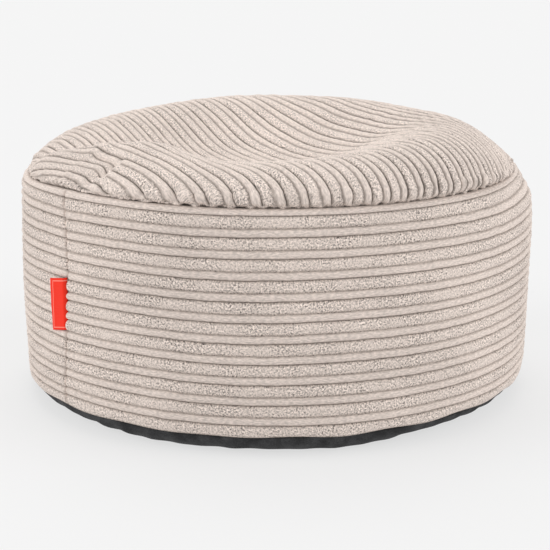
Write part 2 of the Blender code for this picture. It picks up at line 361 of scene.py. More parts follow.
def cordMaterial(name, grooveShadeColour):
    # cut pile: tufts and pits on the wide ribs, a smoother nap on the narrow ones, and painted shade in the
    # grooves
    material, tree, shader = newMaterial(name)
    straight = fabricVector(tree, 1.0)
    wide = attribute(tree, "wide")
    tufts = pilePattern(tree, straight, "tufts")
    patches = pilePattern(tree, straight, "patches")
    pits = mathNode(tree, "MULTIPLY", pilePattern(tree, straight, "pits"), patches)
    nap = pilePattern(tree, fabricVector(tree, cordCloth["napStretch"]), "nap")
    shade = pilePattern(tree, straight, "shade")
    # tone = the wide rib's with tufts in patches and pits, or the narrow rib's with nap, plus slow shading
    tuftsInPatches = mathNode(tree, "MULTIPLY", tufts, patches)
    wideTone = mathNode(tree, "MULTIPLY_ADD", tuftsInPatches, cordCloth["tuftTone"], cordCloth["wideTone"])
    wideTone = mathNode(tree, "MULTIPLY_ADD", pits, cordCloth["pitTone"], wideTone)
    narrowTone = mathNode(tree, "MULTIPLY_ADD", nap, cordCloth["napTone"], cordCloth["narrowTone"])
    ribTone = mixValue(tree, wide, narrowTone, wideTone)
    tone = mathNode(tree, "MULTIPLY_ADD", shade, cordCloth["shadeTone"], ribTone)
    grey = tree.nodes.new("ShaderNodeCombineColor")
    for socket in grey.inputs[:3]:
        tree.links.new(tone, socket)
    # painted groove shade: the shade colour at each groove, fading to the cloth's own colour up the rib
    depth = remap(tree, attribute(tree, "crest"), cordCloth["grooveShadeFrom"], cordCloth["grooveShadeTo"], 0.0, 1.0)
    grooveShadedColour = mixColour(tree, "MIX", depth, grooveShadeColour, cordCloth["colour"])
    feed(tree, shader.inputs["Base Color"], mixColour(tree, "MULTIPLY", 1.0, grooveShadedColour, grey.outputs[0]))
    wideHeight = mathNode(tree, "SUBTRACT", mathNode(tree, "MULTIPLY", tufts, cordCloth["tuftLift"]), pits)
    narrowHeight = mathNode(tree, "MULTIPLY", nap, cordCloth["napLift"])
    height = mixValue(tree, wide, narrowHeight, wideHeight)
    addRelief(tree, shader, height, cordCloth["reliefStrength"], cordCloth["reliefDepth"])
    setInputs(shader, cordCloth["finish"])
    return material


baseCloth = {
    "colour": (0.019, 0.019, 0.020, 1),
    # paler threads, and painted light on the crease ridges
    "litCreaseAndThreadColour": (0.058, 0.058, 0.060, 1),
    "threads": (620.0, 2.0, 0.55),  # noise scale for a metre, detail and roughness
    "creases": (45.0, 5.0, 0.6),
    "threadTone": 0.5,
    "litCreaseAndThreadRange": (0.64, 0.92),  # creases and threads between which the colour goes paler: paler threads, and painted light on the crease ridges
    "creaseLift": 4.0,
    "reliefStrength": 0.6,
    "reliefDepth": 0.0005,
    "finish": {"Roughness": 0.85, "Specular IOR Level": 0.25},
}


def baseMaterial(name):
    # close plain weave with soft creases: colour and height are both sums of threads and creases, so the
    # colour is paler on the crease ridges, painted light, and darker in their hollows, painted shade
    material, tree, shader = newMaterial(name)
    straight = fabricVector(tree, 1.0)
    threads = noise(tree, straight, *baseCloth["threads"])
    creases = noise(tree, straight, *baseCloth["creases"])
    # paler where the threads are and where the creases rise: painted light on the ridges, painted shade in
    # the hollows
    threadsAndCreaseLight = mathNode(tree, "MULTIPLY_ADD", threads, baseCloth["threadTone"], creases)
    litCreasesAndThreads = remap(tree, threadsAndCreaseLight, *baseCloth["litCreaseAndThreadRange"], 0.0, 1.0)
    colour = mixColour(tree, "MIX", litCreasesAndThreads, baseCloth["colour"], baseCloth["litCreaseAndThreadColour"])
    feed(tree, shader.inputs["Base Color"], colour)
    height = mathNode(tree, "MULTIPLY_ADD", creases, baseCloth["creaseLift"], threads)
    addRelief(tree, shader, height, baseCloth["reliefStrength"], baseCloth["reliefDepth"])
    setInputs(shader, baseCloth["finish"])
    return material


labelTape = {
    "colour": (0.84, 0.031, 0.012, 1),
    "lineColour": (0.92, 0.26, 0.20, 1),
    "endInset": 0.0030,        # from the tape's two ends to the line, and from its fold
    "foldInset": 0.0050,
    "lineCore": 0.0003,        # half the line's width, without and with its soft edges
    "lineEdge": 0.0007,
    "bands": {"Scale": 95.0, "Distortion": 0.4},
    "reliefStrength": 0.5,
    "reliefDepth": 0.0002,
    "finish": {"Roughness": 0.6, "Specular IOR Level": 0.15},
}


def labelMaterial(name, width, tall):
    # woven red tape: soft bands across it, and a pale woven line set in from its fold and its two ends
    material, tree, shader = newMaterial(name)
    cloth = fabricVector(tree, 1.0)
    parts = tree.nodes.new("ShaderNodeSeparateXYZ")
    tree.links.new(cloth, parts.inputs[0])
    inset = labelTape["endInset"]
    toFold = mathNode(tree, "SUBTRACT", width - labelTape["foldInset"] + inset, parts.outputs[0])
    offMiddle = mathNode(tree, "ABSOLUTE", mathNode(tree, "SUBTRACT", parts.outputs[1], tall / 2))
    toEnd = mathNode(tree, "SUBTRACT", tall / 2, offMiddle)
    nearest = mathNode(tree, "MINIMUM", toFold, toEnd)
    offLine = mathNode(tree, "ABSOLUTE", mathNode(tree, "SUBTRACT", nearest, inset))
    line = remap(tree, offLine, labelTape["lineCore"], labelTape["lineEdge"], 1.0, 0.0)
    colour = mixColour(tree, "MIX", line, labelTape["colour"], labelTape["lineColour"])
    feed(tree, shader.inputs["Base Color"], colour)
    bands = tree.nodes.new("ShaderNodeTexWave")
    bands.bands_direction = "Y"
    setInputs(bands, labelTape["bands"])
    tree.links.new(cloth, bands.inputs["Vector"])
    addRelief(tree, shader, bands.outputs["Fac"], labelTape["reliefStrength"], labelTape["reliefDepth"])
    setInputs(shader, labelTape["finish"])
    return material


# Side panel

side = {
    "topRadius": 0.2885,       # at the top seam
    "baseRadius": 0.2895,      # at the base seam
    "baseLeftReach": 0.0030,   # the base seam is further out at the left, and in at the right
    "middle": 0.130,           # the height where the wall is widest
    "drawIn": 0.011,           # share of the radius lost at the floor
    "turnIn": 1.6,             # more turns the end ribs in closer to their seams
    "ribHeight": 0.0032,
    "firstGroove": 0.2584,     # height of the groove under the highest rib
    "ribsBelowFirst": 20,
    "shallowRoot": 0.32,       # every other groove is less deep, as a share of a rib's height
    "columns": 430,
    "heldEnds": 0.04,          # shares of the height beside the seams where unevenness and the join fade
    "joinEnds": 0.01,
    "hemEnd": 0.06,            # the hem's waves reach up to here
    "hemPower": 0.7,
    "dropEnd": 0.1,            # and the far left's sag is full from here
    "bedRadius": 0.25,
    "bedGap": 0.0006,          # under the top panel
}

# Unevenness: height, seed, slowest and fastest waves round the pouf, length for a drift, most drift, count
sideWaves = {
    "ribs": (0.06, 11, 25, 90, 0.03, 1.0, 16),  # as a share of a rib's height
    "dents": (0.0009, 5, 2, 11, 0.24, 1.2, 16),
    "grain": (0.00016, 6, 90, 200, 0.02, 2.0, 20),
    "slowSag": (0.00022, 7, 2, 7, 0.2, 0.8, 16),
    "quickSag": (0.00012, 8, 20, 70, 0.02, 0.6, 16),
    "hem": (0.0006, 9, 6, 20, 1.0, 0.0, 16),
}

join = {
    "azimuth": 49.3,
    "steps": 12,               # columns beside it, and their distances
    "step": 0.001,
    "firstStep": 0.0003,
    "straightAt": 0.15,        # it curves to the left below and above this height, in degrees over a run
    "leanBelow": 2.6,
    "runBelow": 0.13,
    "leanAbove": 1.2,
    "runAbove": 0.115,
    "leanReach": 0.06,
    "depth": 0.0034,           # the valley
    "width": 0.0013,
    "drawIn": 0.0008,          # the cloth beside it is drawn in too
    "drawReach": 0.010,
    "lobeRight": 0.25,         # the ribs swell before they go in, as shares of their height
    "lobeRightAt": 0.006,
    "lobeLeft": 0.10,
    "lobeLeftAt": 0.005,
    "lobeReach": 0.004,
    "dropLeft": 0.0018,        # the ribs on each side drop towards it
    "dropLeftReach": 0.05,
    "dropRight": 0.0026,
    "dropRightReach": 0.045,
    "dropFullAt": 0.15,        # the right's drop grows up to this height, from its least share
    "dropLeast": 0.2,
    "lap": 0.0022,             # the rib ends lap over the label's edge
    "lapReach": 0.003,
    "lapPower": 0.7,
    "lapFade": 0.002,
    "lapRise": 1.2,            # how far they rise for each metre of lap
}


def sideRows():
    # for each row from the base seam up: height, share of the rib's height, one on a wide rib, cloth below
    grooves = [drumBox[1][2], side["firstGroove"]]
    for number in range(side["ribsBelowFirst"]):
        grooves.append(grooves[-1] - (cord["wideRib"] if number % 2 == 0 else cord["narrowRib"]))
    grooves.append(drumBox[0][2])
    grooves.reverse()
    rows = []
    cloth = 0.0
    for number, (low, high) in enumerate(zip(grooves, grooves[1:])):
        isWide = number % 2 == 0
        steps = cord["wideSteps"] if isWide else cord["narrowSteps"]
        width = cord["wideRib"] if isWide else cord["narrowRib"]
        shares, rise = ribSteps(steps, side["shallowRoot"] if isWide else 0.0)
        kind = np.full(steps, float(isWide))
        rows.append([low + (high - low) * shares, rise, kind, cloth + shares * width])
        cloth += width
    rows.append([[grooves[-1]], [0.0], [0.0], [cloth]])
    return np.concatenate(rows, axis=1), grooves


def sideColumns():
    # distances round the wall from the join, closer together beside it, and the whole way round
    around = 2 * np.pi * drumBox[1][0]
    close = np.arange(join["steps"]) * join["step"]
    far = np.linspace(close[-1] + join["step"], around - close[-1] - join["step"], side["columns"])
    distances = [close + join["firstStep"], far, around - join["firstStep"] - close[::-1]]
    return np.concatenate(distances), around


def endShares(height, grooves):
    # straight from nought at the first groove to one at the base seam, and from the last to the top seam
    lowest = np.clip((grooves[1] - height) / (grooves[1] - grooves[0]), 0, 1)
    highest = np.clip((height - grooves[-2]) / (grooves[-1] - grooves[-2]), 0, 1)
    return lowest, highest


def wallRadius(height, degrees, lowest, highest):
    # a drum's radius less a square of the height off its middle, rolled at the right, turned in at the seams
    offMiddle = (height - side["middle"]) / side["middle"]
    wall = drumBox[1][0] * (1 - side["drawIn"] * offMiddle ** 2) - side["ribHeight"]
    rollIn = easeBetween(height, settled["rollFrom"], settled["rollTo"]) * settled["roll"]
    swell = settled["swell"] * bell(height - settled["swellHeight"], settled["swellReach"])
    wall = wall + (swell - rollIn) * rightShare(degrees)
    baseRadius = side["baseRadius"] + side["baseLeftReach"] * np.sin(np.radians(degrees))
    baseRadius = baseRadius + settled["hemFlare"] * flankShare(degrees)
    topRadius = side["topRadius"] + seamShift(degrees)
    toBase = (baseRadius - wall) * lowest ** side["turnIn"]
    toTop = (topRadius - wall) * highest ** side["turnIn"]
    return wall + toBase + toTop


def joinLean(height):
    # degrees to the left, as the square of the distance below or above where the join is straight
    below = join["leanBelow"] * ((join["straightAt"] - height) / join["runBelow"]) ** 2
    above = join["leanAbove"] * ((height - join["straightAt"]) / join["runAbove"]) ** 2
    return np.where(height < join["straightAt"], below, above)


def joinDrop(height, leftOf, rightOf, held):
    # on each side a drop that falls off as e to the power of less the distance in reaches
    left = join["dropLeft"] * held * np.exp(-leftOf / join["dropLeftReach"])
    right = join["dropRight"] * held * np.exp(-rightOf / join["dropRightReach"])
    return left + right * np.clip(height / join["dropFullAt"], join["dropLeast"], 1)


def labelLap(height, bulge, rightOf):
    # how far the rib ends lap over the label: a bell off the join, from the label's foot up to its head
    foot = labelBox[1][2] - label["tall"]
    aboveFoot = np.clip((height - foot) / join["lapFade"], 0, 1)
    belowHead = np.clip((labelBox[1][2] - height) / join["lapFade"], 0, 1)
    atLabel = aboveFoot * belowHead
    return join["lap"] * bulge ** join["lapPower"] * bell(rightOf, join["lapReach"]) * atLabel


def makeSide(material):
    # radius = the wall's plus ribs and unevenness, less the join's valley; height = the row's less its drops
    (heights, bulges, wides, laid), grooves = sideRows()
    distances, around = sideColumns()
    turns = distances / around
    height = heights[:, None] + 0 * turns
    turn = turns[None, :] + 0 * height
    bulge = bulges[:, None]
    level = ((heights - drumBox[0][2]) / (drumBox[1][2] - drumBox[0][2]))[:, None]
    nearEnds = np.minimum(level, 1 - level)
    held = np.clip(nearEnds / side["heldEnds"], 0, 1)
    lowest, highest = endShares(height, grooves)
    leftOf = distances[None, :] + 0 * height
    rightOf = around - leftOf
    toJoin = np.minimum(leftOf, rightOf)
    degrees = join["azimuth"] + 360 * turn + joinLean(height) * bell(toJoin, join["leanReach"])
    valley = join["depth"] * bell(toJoin, join["width"]) + join["drawIn"] * bell(toJoin, join["drawReach"])
    lobes = 1 + join["lobeRight"] * bell(rightOf - join["lobeRightAt"], join["lobeReach"])
    lobes = lobes + join["lobeLeft"] * bell(leftOf - join["lobeLeftAt"], join["lobeReach"])
    rib = side["ribHeight"] * bulge * (1 + ripple(sideWaves["ribs"], turn, height)) * lobes
    radius = wallRadius(height, degrees, lowest, highest) + rib
    radius = radius - valley * np.clip(nearEnds / side["joinEnds"], 0, 1)
    radius = radius + ripple(sideWaves["dents"], turn, height, held)
    radius = radius + ripple(sideWaves["grain"], turn, height, held)
    sag = ripple(sideWaves["slowSag"], turn, height, held)
    sag = sag + ripple(sideWaves["quickSag"], turn, height, held)
    atHem = (1 - np.clip(level / side["hemEnd"], 0, 1)) ** side["hemPower"]
    hem = ripple(sideWaves["hem"], turn, height, atHem)
    drop = settled["leftDrop"] * leftShare(degrees) * np.clip(level / side["dropEnd"], 0, 1) * (1 - highest)
    drop = drop + seamSag(degrees) * highest
    z = height + sag - joinDrop(height, leftOf, rightOf, held) + hem - drop
    z = z - settled["hemDrop"] * flankShare(degrees) * lowest
    lap = labelLap(height, bulge, rightOf)
    azimuth = np.radians(degrees) + lap / radius
    radius = radius + join["lapRise"] * lap
    rows, columns = z.shape
    lowRing = placed(side["bedRadius"], azimuth[0], drumBox[0][2])
    highRing = placed(side["bedRadius"], azimuth[0], capBox[0][2] - side["bedGap"])
    points = np.concatenate([lowRing, placed(radius, azimuth, z).reshape(-1, 3), highRing])
    quads = gridFaces(rows + 2, columns, True)
    lowCap = np.arange(columns)[::-1]
    highCap = (rows + 1) * columns + np.arange(columns)
    body = np.stack([turn * around, laid[:, None] + 0 * turn], axis=-1).reshape(-1, 2)
    edge = np.stack([turns * around, np.zeros(columns)], axis=-1)
    coords = np.concatenate([edge, body, edge])
    blank = np.zeros(columns)
    # the rib's height share, which also sets the painted groove shade
    crest = np.concatenate([blank, np.repeat(bulges, columns), blank])
    wide = np.concatenate([blank, np.repeat(wides, columns), blank])
    piece = buildMesh("sideCord", points, quads, [lowCap, highCap], coords, {"crest": crest, "wide": wide})
    piece.data.materials.append(material)
    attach(piece, "root")
    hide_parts("side_panel")
    return piece


# Top panel

top = {
    "seamRadius": 0.2885,
    "seamHeight": 0.2657,
    "ribTurn": 33.6,           # degrees from running front to back
    "ribOffset": 0.48,         # a wide rib starts this share of a rib pair before the middle
    "ribHeight": 0.0031,
    "ribFade": 0.007,          # distance from the seam at which the ribs are full
    "shallowRoot": 0.45,       # every other groove is less deep, as a share of a rib's height
    "ease": 0.10,              # how much closer together the ribs are at the rim
    "easePower": 3,
    "easeRounds": 12,
    "rows": 190,
    "widest": 0.9995,          # no column is further out than this share of the cloth's reach
    "wanderRun": 0.6,          # the ribs aren't quite straight, over this length
    "wanderPower": 8,          # powers of the radius: more keeps each change closer to the rim
    "foldPower": 24,
    "sagPower": 10,
    "shiftPower": 6,
    "hollowCentre": (-0.045, -0.015),  # x and y
    "hollowFloor": -0.0075,
    "hollowPower": 1.43,
    "shoulderPower": 1.73,
    "rightShadeSpread": 0.5,         # at the right, where the ribs are pressed together, the painted groove shade spreads further up each rib
    "shadeSpreadFrom": 0.04,
    "shadeSpreadTo": 0.18,
    "rimBand": 0.0032,         # the bare strip between the ribs' ends and the seam
    "rimTone": 0.85,           # in the bare strip the painted groove shade is that of this share of a rib's height, so the strip stays pale
    "rimRoll": 0.0017,
    "rimWidth": 0.016,         # of the radius
    "lumpReach": 0.0035,       # how far in from the seam the lumps and the puckers go
    "puckerReach": 0.012,
    "bedRadius": 0.262,
}

# Unevenness: height, seed, slowest and fastest waves, length for a drift, most drift, count
topWaves = {
    "wander": (0.0006, 26, 2, 7, 0.15, 0.8, 16),
    "roll": (0.6, 21, 40, 190, 1.0, 0.0, 16),  # as a share of the rim's roll
    "ribs": (0.08, 22, 20, 60, 0.05, 1.0, 16),  # as a share of a rib's height
    "puckers": (0.0009, 23, 45, 120, 0.1, 1.0, 16),
    "dents": (0.0010, 24, 1, 7, 0.15, 1.0, 16),
    "lumps": (0.0008, 25, 60, 240, 0.006, 1.0, 24),
}

# Azimuth about the hollow's centre from +X, distance out to the crest, its height over the seam,
# and how upright the shoulder outside it stands (less is more upright)
crestRows = (
    (0, 0.240, 0.0485, 1.15),
    (30, 0.211, 0.0480, 1.15),
    (60, 0.203, 0.0487, 1.08),
    (90, 0.206, 0.0466, 0.91),
    (120, 0.197, 0.0388, 0.74),
    (150, 0.182, 0.0304, 0.62),
    (180, 0.178, 0.0203, 0.72),
    (210, 0.169, 0.0272, 0.66),
    (240, 0.177, 0.0414, 0.63),
    (270, 0.209, 0.0351, 0.45),
    (300, 0.244, 0.0389, 0.42),
    (330, 0.240, 0.0461, 0.55),
)

# Folds on the top, from one place to another as x, y, then width and height (less than nought is a valley)
foldRows = (
    (-0.115, -0.035, -0.285, -0.028, 0.024, -0.0070),
    (-0.262, -0.068, -0.190, -0.140, 0.017, 0.0050),
    (-0.190, -0.140, -0.120, -0.172, 0.017, 0.0035),
    (-0.193, -0.155, -0.169, -0.193, 0.0060, -0.0045),
    (-0.169, -0.193, -0.181, -0.200, 0.0065, -0.0050),
    (-0.181, -0.200, -0.200, -0.199, 0.0065, -0.0045),
)


def foldHeight(x, y):
    # each fold is a bell across its line, rounded off at both ends
    total = np.zeros_like(x)
    for fromX, fromY, toX, toY, width, rise in foldRows:
        runX = toX - fromX
        runY = toY - fromY
        share = np.clip(((x - fromX) * runX + (y - fromY) * runY) / (runX ** 2 + runY ** 2), 0, 1)
        gap = np.hypot(x - fromX - share * runX, y - fromY - share * runY)
        total = total + rise * bell(gap, width)
    return total


def crestColumn(column, azimuth):
    # a smooth closed curve through one column of the crest rows: a cubic through each two neighbours
    values = np.array([row[column] for row in crestRows])
    step = 360 / len(crestRows)
    place = np.floor(azimuth / step).astype(int)
    share = azimuth / step - place
    before, here, after, beyond = (values[(place + k) % len(values)] for k in (-1, 0, 1, 2))
    bend = 2 * before - 5 * here + 4 * after - beyond
    swing = 3 * here - before - 3 * after + beyond
    return 0.5 * (2 * here + (after - before) * share + bend * share ** 2 + swing * share ** 3)


def topHeight(x, y):
    # inside the crest line a squared sine up from the hollow's floor, outside it a falling shoulder
    centreX, centreY = top["hollowCentre"]
    ahead = x - centreX
    aside = y - centreY
    distance = np.hypot(ahead, aside) + 1e-9
    azimuth = np.degrees(np.arctan2(aside, ahead)) % 360
    crest, rise, upright = (crestColumn(column, azimuth) for column in (1, 2, 3))
    along = (centreX * ahead + centreY * aside) / distance
    rim = np.sqrt(along ** 2 + top["seamRadius"] ** 2 - centreX ** 2 - centreY ** 2) - along
    inside = np.clip(distance / crest, 0, 1)
    outside = np.clip((distance - crest) / (rim - crest), 0, 1)
    floor = top["hollowFloor"]
    hollow = floor + (rise - floor) * np.sin(np.pi / 2 * inside ** top["hollowPower"]) ** 2
    shoulder = rise * (1 - outside ** top["shoulderPower"]) ** upright
    return np.where(distance < crest, hollow, shoulder)


def topColumns():
    # places across the cloth with the rib's share of height there, and one on a wide rib
    reach = top["seamRadius"] * (1 + top["ease"])
    pairs = np.arange(-int(reach / ribPair) - 2, int(reach / ribPair) + 3)
    starts = (pairs - top["ribOffset"]) * ribPair
    wideShares, wideRise = ribSteps(cord["wideSteps"], 0.0)
    narrowShares, narrowRise = ribSteps(cord["narrowSteps"], top["shallowRoot"])
    narrowAlong = cord["wideRib"] + narrowShares * cord["narrowRib"]
    pair = np.concatenate([wideShares * cord["wideRib"], narrowAlong])
    rise = np.concatenate([wideRise, narrowRise])
    kind = np.concatenate([np.ones(len(wideRise)), np.zeros(len(narrowRise))])
    places = (starts[:, None] + pair[None, :]).ravel()
    kept = np.abs(places) < reach * top["widest"]
    return places[kept], np.tile(rise, len(pairs))[kept], np.tile(kind, len(pairs))[kept]


def layCloth(places):
    # across = a line's place over one plus the ease by a power of the radius, found in a few rounds
    shares = np.sin(np.linspace(-np.pi / 2, np.pi / 2, top["rows"]))
    acrossEnd = places / (1 + top["ease"])
    alongEnd = np.sqrt(top["seamRadius"] ** 2 - acrossEnd ** 2)
    along = alongEnd[:, None] * shares[None, :]
    across = acrossEnd[:, None] + 0 * along
    for _ in range(top["easeRounds"]):
        radius = np.hypot(across, along)
        across = places[:, None] / (1 + top["ease"] * (radius / top["seamRadius"]) ** top["easePower"])
    nearRim = (np.hypot(across, along) / top["seamRadius"]) ** top["wanderPower"]
    across = across + ripple(topWaves["wander"], along / top["wanderRun"], across) * (1 - nearRim)
    return across, along


def settleTop(across, along):
    # height = the seam's plus crest, hollow and folds, less the seam's sag; then the rim is moved and rolled
    turn = math.radians(top["ribTurn"])
    x = across * math.cos(turn) + along * math.sin(turn)
    y = across * math.sin(turn) - along * math.cos(turn)
    radius = np.hypot(x, y)
    share = np.clip(radius / top["seamRadius"], 0, 1)
    rounds = (np.degrees(np.arctan2(y, x)) / 360) % 1
    azimuth = 270 - 360 * rounds
    sag = seamSag(azimuth) * share ** top["sagPower"]
    z = top["seamHeight"] + topHeight(x, y) + foldHeight(x, y) * (1 - share ** top["foldPower"]) - sag
    inward = np.clip((1 - share) / top["rimWidth"], 0, 1)
    roll = top["rimRoll"] * np.sin(np.pi * inward) * (1 + ripple(topWaves["roll"], rounds, radius))
    shift = seamShift(azimuth) * share ** top["shiftPower"] + roll
    x = x + shift * x / radius
    y = y + shift * y / radius
    fromMiddle = np.hypot(x, y)
    crestRing = bell(fromMiddle - slackCloth["ringRadius"], slackCloth["ringWidth"])
    hollow = bell(fromMiddle, slackCloth["hollowWidth"])
    z = z - slackCloth["crestLower"] * crestRing + slackCloth["hollowHigher"] * hollow
    fromSeam = np.hypot(z - top["seamHeight"] + sag, (1 - share) * top["seamRadius"])
    return np.stack([x, y, z], axis=-1), radius, share, rounds, fromSeam


# The top's slack cloth is left to a short cloth simulation on a coarse copy of the panel

slackCloth = {
    "everyColumn": 5,
    "everyRow": 4,
    "frames": 20,
    "quality": 6,
    "growth": 0.025,           # how much wider the cloth is than its filling
    "held": 0.12,              # how firmly it is held all over, beside one at its border
    "softening": 8,
    "stiffness": 8.0,
    "bending": 4.0,
    "mostMove": 0.0035,
    "crestLower": 0.0012,      # the start is lower along the crest, because the cloth swells there
    "ringRadius": 0.195,
    "ringWidth": 0.035,
    "hollowHigher": 0.0014,    # and higher in the hollow, because it sinks there
    "hollowWidth": 0.10,
}


def relaxCloth(points):
    # a grid of points, pinned at its border, grown a little and left to buckle: how far each point moved
    rows, columns = points.shape[:2]
    mesh = bpy.data.meshes.new("slackTop")
    mesh.from_pydata(points.reshape(-1, 3).tolist(), [], gridFaces(rows, columns, False).tolist())
    proxy = bpy.data.objects.new("slackTop", mesh)
    bpy.context.scene.collection.objects.link(proxy)
    index = np.arange(rows * columns).reshape(rows, columns)
    border = np.concatenate([index[0], index[-1], index[1:-1, 0], index[1:-1, -1]])
    held = proxy.vertex_groups.new(name="held")
    held.add(index.ravel().tolist(), slackCloth["held"], "REPLACE")
    held.add(border.tolist(), 1.0, "REPLACE")
    cloth = proxy.modifiers.new("slack", "CLOTH")
    cloth.settings.quality = slackCloth["quality"]
    cloth.settings.vertex_group_mass = "held"
    cloth.settings.pin_stiffness = 1.0
    cloth.settings.shrink_min = -slackCloth["growth"]
    cloth.settings.tension_stiffness = slackCloth["stiffness"]
    cloth.settings.compression_stiffness = slackCloth["stiffness"]
    cloth.settings.bending_stiffness = slackCloth["bending"]
    cloth.settings.effector_weights.gravity = 0.0
    cloth.collision_settings.use_collision = False
    cloth.point_cache.frame_end = slackCloth["frames"]
    for frameNumber in range(1, slackCloth["frames"] + 1):
        bpy.context.scene.frame_set(frameNumber)
    relaxed = proxy.evaluated_get(bpy.context.evaluated_depsgraph_get()).data
    after = np.empty(rows * columns * 3, dtype=np.float32)
    relaxed.vertices.foreach_get("co", after)
    bpy.data.objects.remove(proxy, do_unlink=True)
    bpy.data.meshes.remove(mesh)
    bpy.context.scene.frame_set(1)
    return softened(after.reshape(rows, columns, 3) - points)


def softened(moved):
    # each inner point takes half its own move and a quarter of each neighbour's, so the longer waves stay
    # size = the most by the hyperbolic tangent of the size over the most
    for _ in range(slackCloth["softening"]):
        moved[1:-1] = 0.5 * moved[1:-1] + 0.25 * (moved[:-2] + moved[2:])
        moved[:, 1:-1] = 0.5 * moved[:, 1:-1] + 0.25 * (moved[:, :-2] + moved[:, 2:])
    size = np.linalg.norm(moved, axis=2, keepdims=True)
    most = slackCloth["mostMove"]
    return moved * np.tanh(size / most) * most / np.maximum(size, 1e-9)


def spread(coarse, columnPicks, rowPicks, columns, rows):
    # straight-line values between the coarse grid's columns, then between its rows
    acrossAll = np.stack([np.interp(np.arange(columns), columnPicks, line) for line in coarse.T], axis=-1)
    return np.stack([np.interp(np.arange(rows), rowPicks, line) for line in acrossAll], axis=0)


def slackMoves(points):
    # the simulation's moves on every few columns and rows, spread over the whole grid
    columns, rows = points.shape[:2]
    columnPicks = np.unique(np.append(np.arange(0, columns, slackCloth["everyColumn"]), columns - 1))
    rowPicks = np.unique(np.append(np.arange(0, rows, slackCloth["everyRow"]), rows - 1))
    moved = relaxCloth(points[np.ix_(columnPicks, rowPicks)])
    print("slack cloth moved by up to", round(float(np.abs(moved).max()) * 1000, 2), "mm")
    parts = [spread(moved[..., axis], columnPicks, rowPicks, columns, rows) for axis in range(3)]
    return np.stack(parts, axis=-1)


def topBed(points):
    # the grid's border in order, its points drawn in to a flat ring on the bed, and the cells between them
    columns, rows = points.shape[:2]
    index = np.arange(columns * rows).reshape(columns, rows)
    border = np.concatenate([index[:, 0], index[-1, 1:], index[-2::-1, -1], index[0, -2:0:-1]])
    rim = points.reshape(-1, 3)[border]
    bed = rim * (top["bedRadius"] / np.hypot(rim[:, 0], rim[:, 1]))[:, None]
    bed[:, 2] = capBox[0][2]
    bedIndex = columns * rows + np.arange(len(border))
    cells = np.stack([border, np.roll(border, -1), np.roll(bedIndex, -1), bedIndex], axis=-1)
    return border, bed, bedIndex, cells


def makeTop(material):
    # the settled cap plus the simulation's moves, and along its normals the ribs and small unevenness
    places, bulges, wides = topColumns()
    across, along = layCloth(places)
    start, radius, share, rounds, fromSeam = settleTop(across, along)
    points = start + slackMoves(start)
    normals = surfaceNormals(points)
    normals = normals * np.sign(normals[..., 2:3].mean())
    fade = easeBetween(fromSeam, 0.0, top["ribFade"])
    rib = top["ribHeight"] * bulges[:, None] * (1 + ripple(topWaves["ribs"], rounds, radius)) * fade
    pucker = ripple(topWaves["puckers"], rounds, radius, np.exp(-fromSeam / top["puckerReach"]), fade)
    dents = ripple(topWaves["dents"], rounds, radius) * share * fade
    lumps = ripple(topWaves["lumps"], rounds, fromSeam, bell(fromSeam, top["lumpReach"]))
    points = points + normals * (rib + pucker + dents + lumps)[..., None]
    columns, rows = along.shape
    border, bed, bedIndex, bedCells = topBed(points)
    quads = np.concatenate([gridFaces(columns, rows, False), bedCells])
    laid = np.zeros_like(along)
    laid[:, 1:] = np.cumsum(np.linalg.norm(np.diff(points, axis=1), axis=2), axis=1)
    laid = laid - laid[:, rows // 2][:, None]
    coords = np.stack([laid, places[:, None] + 0 * along], axis=-1).reshape(-1, 2)
    coords = np.concatenate([coords, coords[border]])
    flatRim = 1 - easeBetween(fromSeam, top["rimBand"] / 2, top["rimBand"])
    # the crest values steer only the painted groove shade: it spreads further at the right, and is even and
    # pale in the rim band
    shadeSpread = top["rightShadeSpread"] * easeBetween(start[..., 0], top["shadeSpreadFrom"], top["shadeSpreadTo"])
    crest = bulges[:, None] ** (1 + shadeSpread) * (1 - flatRim) + top["rimTone"] * flatRim
    wide = wides[:, None] * (1 - flatRim) + flatRim
    blank = np.zeros(len(border))
    values = {"crest": np.append(crest, blank), "wide": np.append(wide, blank)}
    points = np.concatenate([points.reshape(-1, 3), bed])
    piece = buildMesh("topCord", points, quads, [bedIndex[::-1]], coords, values)
    piece.data.materials.append(material)
    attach(piece, "root")
    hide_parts("top_panel")
    return piece


# Base panel

base = {
    "floorRadius": 0.266,
    "seamRadius": 0.2893,
    "columns": 360,
    "rows": 16,
    "fullness": 1.4,           # more leaves it flatter
    "clothRound": 1.8,         # cloth laid round the edge, and up it for each radian
    "clothUp": 0.02,
}

# Unevenness: height, seed, slowest and fastest waves, radians for a drift, most drift, count
baseWaves = {
    "edge": (0.0012, 31, 3, 10, 1.0, 0.0, 16),
    "folds": (0.0009, 32, 18, 60, 1.0, 0.3, 16),
}


def makeBase(material):
    # a quarter round from the flat underside up to the base seam, with slow waves in its lower edge
    turns = np.arange(base["columns"]) / base["columns"]
    sweep = np.linspace(0, np.pi / 2, base["rows"])
    turn = turns[None, :] + 0 * sweep[:, None]
    sweep = sweep[:, None] + 0 * turn
    azimuth = 2 * np.pi * turn
    seam = base["seamRadius"] + side["baseLeftReach"] * np.sin(azimuth)
    foot = base["floorRadius"] + ripple(baseWaves["edge"], turn, sweep) - footTuck(np.degrees(azimuth))
    radius = foot + (seam - foot) * np.sin(sweep) ** base["fullness"]
    radius = radius + ripple(baseWaves["folds"], turn, sweep, np.sin(2 * sweep))
    height = baseBox[1][2] * (1 - np.cos(sweep))
    points = placed(radius, azimuth, height).reshape(-1, 3)
    quads = gridFaces(base["rows"], base["columns"], True)
    lowCap = np.arange(base["columns"])[::-1]
    highCap = (base["rows"] - 1) * base["columns"] + np.arange(base["columns"])
    coords = np.stack([turn * base["clothRound"], sweep * base["clothUp"]], axis=-1).reshape(-1, 2)
    piece = buildMesh("baseCloth", points, quads, [lowCap, highCap], coords, {})
    piece.data.materials.append(material)
    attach(piece, "root")
    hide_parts("base_panel")
    return piece


# Label

